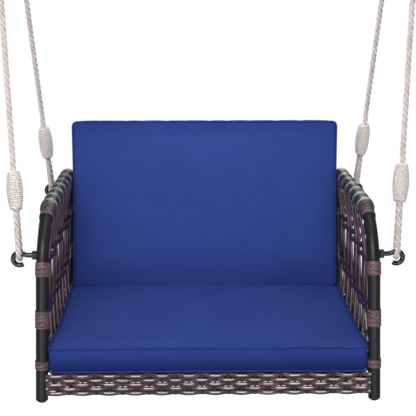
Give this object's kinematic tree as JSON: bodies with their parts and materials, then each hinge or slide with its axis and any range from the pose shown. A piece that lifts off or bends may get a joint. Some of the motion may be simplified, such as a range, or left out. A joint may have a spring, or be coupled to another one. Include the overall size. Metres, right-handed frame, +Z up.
{
  "type": "porch_swing_seat",
  "caption": "Hanging porch swing seat: arched black tube side frames woven with dark cane, blue seat and back cushions, hook bolts and lashed cream ropes to ceiling eyes.",
  "frame": {"origin": "mount plane of the four ceiling eyes, midway between their shanks", "axes": "+X to the right of someone looking at the front of the seat, +Y from front to back, +Z up"},
  "size_m": [0.886, 0.62, 1.0118],
  "materials": {
    "frame_tube": "satin charcoal powder coat",
    "foot_rubber": "moulded matt",
    "cane": "extruded round polyethylene cane, streaked",
    "weave": "extruded flat polyethylene strip, streaked",
    "arm_strip": "extruded flat polyethylene strip, worn sheen",
    "black_steel": "gloss black coated steel",
    "zinc_steel": "zinc plated",
    "blue_canvas": "plain woven outdoor canvas",
    "rope": "laid soft polyester rope",
    "lashing_cord": "twisted polyester cord"
  },
  "bodies": {
    "ceiling_eyes": {"ceiling_eye_front_left": "black_steel", "ceiling_eye_front_right": "black_steel", "ceiling_eye_rear_left": "black_steel", "ceiling_eye_rear_right": "black_steel"},
    "rope_front_left": {"rope_front_left": "rope", "lashing_front_left": "lashing_cord", "upper_lashing_front_left": "lashing_cord"},
    "rope_front_right": {"rope_front_right": "rope", "lashing_front_right": "lashing_cord", "upper_lashing_front_right": "lashing_cord"},
    "rope_rear_left": {"rope_rear_left": "rope", "lashing_rear_left": "lashing_cord", "upper_lashing_rear_left": "lashing_cord"},
    "rope_rear_right": {"rope_rear_right": "rope", "lashing_rear_right": "lashing_cord", "upper_lashing_rear_right": "lashing_cord"},
    "seat": {"side_frame_left": "frame_tube", "side_frame_right": "frame_tube", "foot_plugs": "foot_rubber", "canes_left": "cane", "canes_right": "cane", "side_weave_left": "weave", "side_weave_right": "weave", "arm_wrap_left": "arm_strip", "arm_wrap_right": "arm_strip", "post_bands_left": "cane", "post_bands_right": "cane", "seat_frame": "frame_tube", "seat_slats": "frame_tube", "seat_deck": "weave", "apron_stakes": "weave", "apron_weave": "weave", "back_frame": "frame_tube", "back_canes": "cane", "back_weave": "weave", "frame_bolts": "black_steel", "rivet_nuts": "zinc_steel", "spacer_washers": "zinc_steel", "back_bolts": "black_steel", "back_nuts": "zinc_steel", "hook_front_left": "black_steel", "hook_front_right": "black_steel", "hook_rear_left": "black_steel", "hook_rear_right": "black_steel", "hook_nuts": "black_steel", "hook_inserts": "zinc_steel"},
    "seat_cushion": {"seat_cushion": "blue_canvas"},
    "back_cushion": {"back_cushion": "blue_canvas"}
  },
  "joints": [
    {"name": "swing", "type": "hinge", "parent": "ceiling_eyes", "child": "rope_front_left", "pos_m": [-0.424, -0.155, -0.036], "axis": [1, 0, 0], "range_deg": [-8, 8]},
    {"name": "front_right_rope_swing", "type": "hinge", "parent": "ceiling_eyes", "child": "rope_front_right", "pos_m": [0.424, -0.155, -0.036], "axis": [1, 0, 0], "range_deg": [-8, 8]},
    {"name": "rear_left_rope_swing", "type": "hinge", "parent": "ceiling_eyes", "child": "rope_rear_left", "pos_m": [-0.424, 0.155, -0.036], "axis": [1, 0, 0], "range_deg": [-8.21, 8.21]},
    {"name": "rear_right_rope_swing", "type": "hinge", "parent": "ceiling_eyes", "child": "rope_rear_right", "pos_m": [0.424, 0.155, -0.036], "axis": [1, 0, 0], "range_deg": [-8.21, 8.21]},
    {"name": "seat_on_front_hooks", "type": "hinge", "parent": "rope_front_left", "child": "seat", "pos_m": [-0.3787, -0.30343, -0.64772], "axis": [1, 0, 0], "range_deg": [-4.33, 4.33]},
    {"name": "seat_cushion_slide", "type": "slide", "parent": "seat", "child": "seat_cushion", "axis": [0, -1, 0], "range_m": [0, 0.45]},
    {"name": "back_cushion_slide", "type": "slide", "parent": "seat", "child": "back_cushion", "axis": [0, -1, 0], "range_m": [0, 0.4]}
  ],
  "couplings": [
    {"joint": "front_right_rope_swing", "follows": "swing", "ratio": 1},
    {"joint": "rear_left_rope_swing", "follows": "swing", "ratio": 1.0239},
    {"joint": "rear_right_rope_swing", "follows": "swing", "ratio": 1.0239},
    {"joint": "seat_on_front_hooks", "follows": "swing", "ratio": -0.5387}
  ]
}
